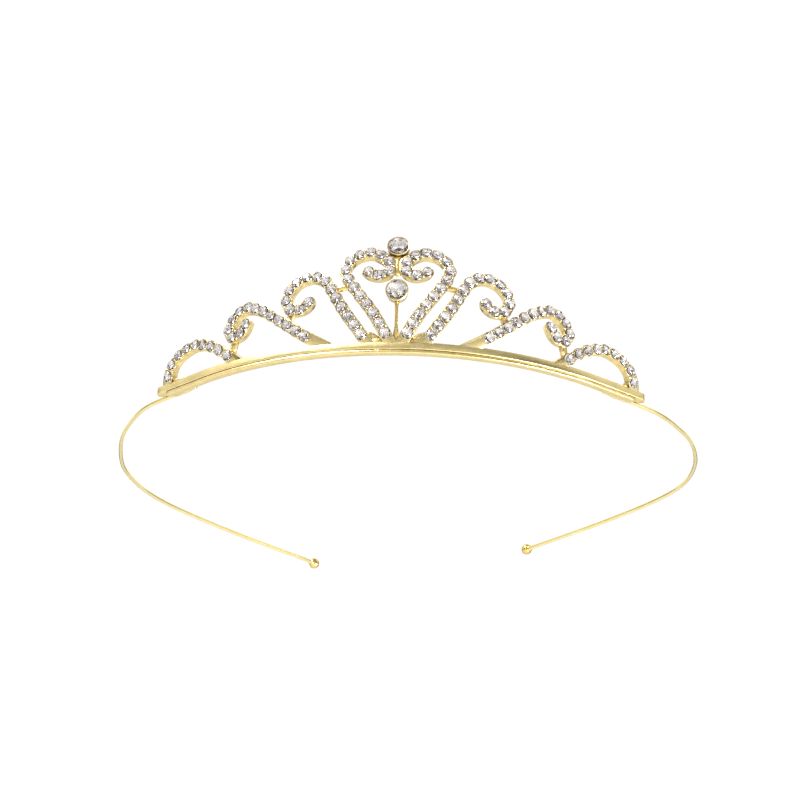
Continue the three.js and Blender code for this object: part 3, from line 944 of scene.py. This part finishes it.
for side_name, side in SIDES.items():
    for kind in SCROLLS:
        path = scroll_path(kind, side)
        places = [path.at(stop) for stop in stone_stops(kind, side)]
        scroll(f"{side_name}_{kind}_scroll", kind, side, places)
        beads(f"{side_name}_{kind}_beads", places)
        row = stone_row(f"{side_name}_{kind}_rhinestones", places, STONE_RADIUS,
                        STONE_CROWN, STONE_PAVILION, STONE_D)
        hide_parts(f"{side_name}_{kind}_stones")
    for name, (s0, h0), (s1, h1), d, radii, node in SIDE_SOLDER:
        solder_bead(f"{side_name}_{name}", (side * s0, h0), (side * s1, h1), d, radii,
                    node and f"{side_name}_{node}")
    for kind, spread in FOOT_FILLETS.items():
        foot = SCROLLS[kind][2][0][0] + FILLET_OFFSET
        solder_bead(f"{side_name}_{kind}_fillet", (side * (foot - spread), 0.0),
                    (side * (foot + spread), 0.05), -0.05, (0.38, 0.66))
    solder_bead(f"{side_name}_arch_nub", (side * 57.6, 0.3), (side * 58.2, 0.3), 0.1, (0.5, 0.5))
    wire_arm(side_name, side)
    wire_solder(side_name, side)
    end_ball(side_name, side)

# ---- floor, light and camera, in metres --------------------------------------------------------

FLOOR_Z = -0.5
FLOOR_HALF = 6.0
FLOOR_SQUARES = 12
SKY_LEVEL = 1.05
# Patches of the studio: direction, inner and outer angle in degrees, and brightness.
SKY_LOBES = [
    ((0, -0.9, 0.5), 20, 62, 0.42), ((0, -0.93, -0.3), 4, 24, 0.05),
    ((0.75, -0.55, 0.25), 6, 26, 0.08), ((-0.7, -0.6, 0.02), 5, 22, 0.06),
    ((0, -0.35, 0.94), 6, 30, 0.12), ((-0.35, -0.8, 0.62), 3, 13, 2.2),
    ((0.25, -0.9, 0.2), 2, 8, 1.8), ((0.9, 0.3, 0.3), 6, 24, 0.2),
    ((-0.92, 0.25, 0.25), 6, 24, 0.25), ((-0.42, 0.9, 0.0), 4, 19, 0.12),
    ((0.42, 0.9, 0.0), 4, 19, 0.12),
]
LIGHT_TARGET = (0, -0.04, 0.01)
CAMERA_DISTANCE = 0.6
CAMERA_LENS = 115.6


def floor():
    """A pale floor, well below the camera, which looks up at the tiara."""
    count = FLOOR_SQUARES
    half = FLOOR_HALF / MM
    grid = np.linspace(-half, half, count + 1)
    verts = [(x, y, FLOOR_Z / MM) for y in grid for x in grid]
    row = count + 1
    faces = [(j * row + i, j * row + i + 1, (j + 1) * row + i + 1, (j + 1) * row + i)
             for j in range(count) for i in range(count)]
    make_mesh("floor", verts, faces, material=floor_material("pale_floor"))


def direction_lobe(nodes, links, direction, towards, inner, outer):
    """1 in the given direction of the sky, falling smoothly to 0 between two angles."""
    dot = nodes.new("ShaderNodeVectorMath")
    dot.operation = "DOT_PRODUCT"
    links.new(direction, dot.inputs[0])
    dot.inputs[1].default_value = Vector(towards).normalized()
    fall = nodes.new("ShaderNodeMapRange")
    fall.interpolation_type = "SMOOTHSTEP"
    fall.inputs["From Min"].default_value = math.cos(math.radians(outer))
    fall.inputs["From Max"].default_value = math.cos(math.radians(inner))
    links.new(dot.outputs["Value"], fall.inputs["Value"])
    return fall.outputs["Result"]


def studio_world():
    """A white studio. The room in front of the tiara is dimmer, with a dark spot at the camera, so
    that the metal and the facets have something to reflect."""
    world = bpy.data.worlds.new("studio")
    bpy.context.scene.world = world
    world.use_nodes = True
    nodes, links = world.node_tree.nodes, world.node_tree.links
    background = nodes["Background"]
    direction = nodes.new("ShaderNodeTexCoord").outputs["Generated"]
    value = None
    for towards, inner, outer, dim in SKY_LOBES:
        lobe = direction_lobe(nodes, links, direction, towards, inner, outer)
        mix = nodes.new("ShaderNodeMix")
        mix.data_type = "FLOAT"
        mix.inputs["A"].default_value = SKY_LEVEL
        links.new(lobe, mix.inputs["Factor"])
        if value is not None:
            links.new(value, mix.inputs["A"])
        mix.inputs["B"].default_value = dim
        value = mix.outputs["Result"]
    links.new(value, background.inputs["Strength"])
    background.inputs["Color"].default_value = (1, 1, 1, 1)


def softbox(name, place, target, size, power):
    """A rectangular area light, aimed at a target."""
    light = bpy.data.lights.new(name, "AREA")
    light.shape = "RECTANGLE"
    light.size, light.size_y = size
    light.energy = power
    lamp = bpy.data.objects.new(name, light)
    lamp.location = place
    aim = Vector(target) - Vector(place)
    lamp.rotation_euler = aim.to_track_quat("-Z", "Y").to_euler()
    bpy.context.scene.collection.objects.link(lamp)


def photo_camera():
    """The photograph's view: from the front, below the headband's plane, with a long lens."""
    elevation, azimuth, roll = (math.radians(a) for a in (-25, 3, 2))
    target = Vector((0, LOOP_MIDDLE_Y * MM, 0.7 * MM))
    back = Vector((
        math.sin(azimuth) * math.cos(elevation),
        -math.cos(azimuth) * math.cos(elevation),
        math.sin(elevation)))
    right = (-back).cross(Vector((0, 0, 1))).normalized()
    up = right.cross(-back)
    x_axis = math.cos(roll) * right + math.sin(roll) * up
    y_axis = -math.sin(roll) * right + math.cos(roll) * up
    data = bpy.data.cameras.new("photo_camera")
    data.lens = CAMERA_LENS
    data.sensor_width = 36
    data.clip_start = 0.01
    camera = bpy.data.objects.new("photo_camera", data)
    rotation = Matrix((x_axis, y_axis, back)).transposed().to_4x4()
    camera.matrix_world = Matrix.Translation(target + back * CAMERA_DISTANCE) @ rotation
    bpy.context.scene.collection.objects.link(camera)
    bpy.context.scene.camera = camera


floor()
studio_world()
softbox("key_light", (-0.5, -0.55, 0.75), LIGHT_TARGET, size=(0.35, 0.35), power=13)
softbox("low_light", (0.5, -0.3, -0.38), LIGHT_TARGET, size=(0.3, 0.15), power=7)
photo_camera()
bpy.context.scene.view_settings.view_transform = "Standard"
